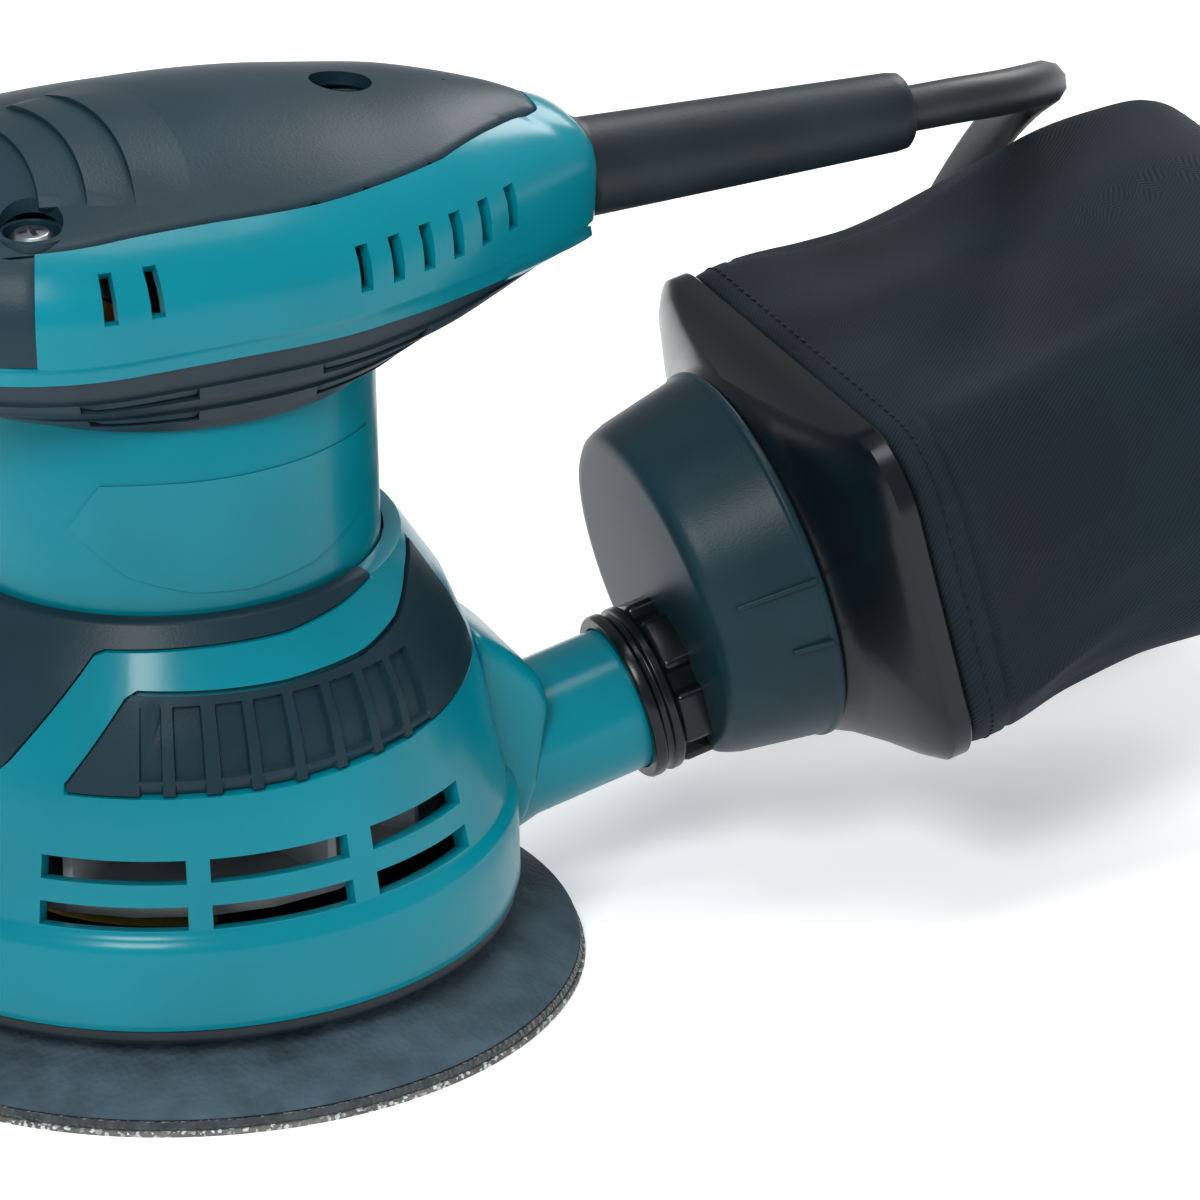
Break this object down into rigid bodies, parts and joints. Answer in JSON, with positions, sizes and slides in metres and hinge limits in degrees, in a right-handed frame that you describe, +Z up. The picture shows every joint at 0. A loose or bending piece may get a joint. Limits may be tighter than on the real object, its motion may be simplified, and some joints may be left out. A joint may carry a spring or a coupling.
{
  "type": "random orbit sander",
  "caption": "Corded palm-held random orbit sander with a round hook-and-loop pad, soft grips, rear lead and a detachable fabric dust bag.",
  "frame": {"origin": "on the motor's axis, in the plane of the abrasive face", "axes": "+Z up along the motor shaft, +X to the rear, where the lead and dust bag are, -Y to the tool's left side"},
  "size_m": [0.3253, 0.2097, 0.15],
  "materials": {
    "shell": "glossy moulded nylon, turquoise",
    "grip": "satin soft-touch elastomer, blue-black",
    "black_plastic": "satin black polypropylene",
    "cap_plastic": "fine-grained dark grey plastic",
    "rubber": "matt black rubber",
    "cord_rubber": "matt black rubber lead sheath",
    "cloth": "dark navy twill weave",
    "foam": "grey closed-cell foam",
    "hooks": "grey hook and loop fabric",
    "abrasive": "aluminium oxide grit on paper",
    "steel": "ground and plated steel",
    "plated_pin": "bright nickel plate",
    "lamination": "stacked steel laminations",
    "copper": "enamelled copper",
    "carbon": "pressed carbon",
    "brass": "machined brass",
    "cast_fan": "cast aluminium"
  },
  "bodies": {
    "housing": {"lower_bearing": "steel", "upper_bearing": "steel", "stator_core": "lamination", "field_coil_rear": "copper", "field_coil_front": "copper", "brush_holder_right": "brass", "carbon_brush_right": "carbon", "brush_spring_right": "steel", "brush_holder_left": "brass", "carbon_brush_left": "carbon", "brush_spring_left": "steel", "base_housing": "shell", "side_panel_right": "grip", "side_panel_left": "grip", "shoulder_grip": "grip", "brake_ring": "rubber", "bearing_plate": "black_plastic", "dust_spout": "shell", "neck_housing": "shell", "waist_band": "grip", "bearing_bridge": "black_plastic", "head_shell": "shell", "top_cover": "grip", "cover_screw_front_left": "steel", "cover_screw_front_right": "steel", "cover_screw_rear": "steel", "switch_bezel": "black_plastic", "switch_body": "black_plastic", "cord_guard": "rubber", "cord_clamp": "black_plastic", "cord": "cord_rubber", "cord_coil": "cord_rubber", "cord_tail": "cord_rubber", "plug_body": "rubber", "plug_pin_a": "plated_pin", "plug_pin_b": "plated_pin"},
    "rotor": {"eccentric_hub": "steel", "counterweight": "brass", "fan": "cast_fan", "armature_shaft": "steel", "armature_core": "lamination", "winding_lower": "copper", "winding_upper": "copper", "commutator": "copper"},
    "pad": {"sanding_disc": "abrasive", "hook_face": "hooks", "pad_foam": "foam", "pad_plate": "black_plastic", "pad_screw": "steel", "pad_bearing": "steel"},
    "rocker": {"switch_rocker": "rubber"},
    "dust_nozzle": {"nozzle": "cap_plastic", "cap_seal": "rubber"},
    "bag": {"bag_frame": "black_plastic", "dust_bag": "cloth"},
    "fastener": {"bag_fastener": "black_plastic"}
  },
  "joints": [
    {"name": "rotor_spin", "type": "hinge", "parent": "housing", "child": "rotor", "pos_m": [0, 0, 0], "axis": [0, 0, 1], "continuous": true},
    {"name": "pad_spin", "type": "hinge", "parent": "rotor", "child": "pad", "pos_m": [0.0014, 0, 0], "axis": [0, 0, 1], "continuous": true},
    {"name": "switch_rock", "type": "hinge", "parent": "housing", "child": "rocker", "pos_m": [-0.052, 0, 0.1285], "axis": [0, 0, 1], "range_deg": [-12, 0]},
    {"name": "nozzle_pull", "type": "slide", "parent": "housing", "child": "dust_nozzle", "axis": [0.9744, 0, 0.225], "range_m": [0, 0.03]},
    {"name": "bag_twist", "type": "hinge", "parent": "dust_nozzle", "child": "bag", "pos_m": [0.09121, 0, 0.04949], "axis": [0.9744, 0, 0.225], "range_deg": [-20, 0]},
    {"name": "fastener_slide", "type": "slide", "parent": "bag", "child": "fastener", "axis": [0, -1, 0], "range_m": [0, 0.085]}
  ]
}
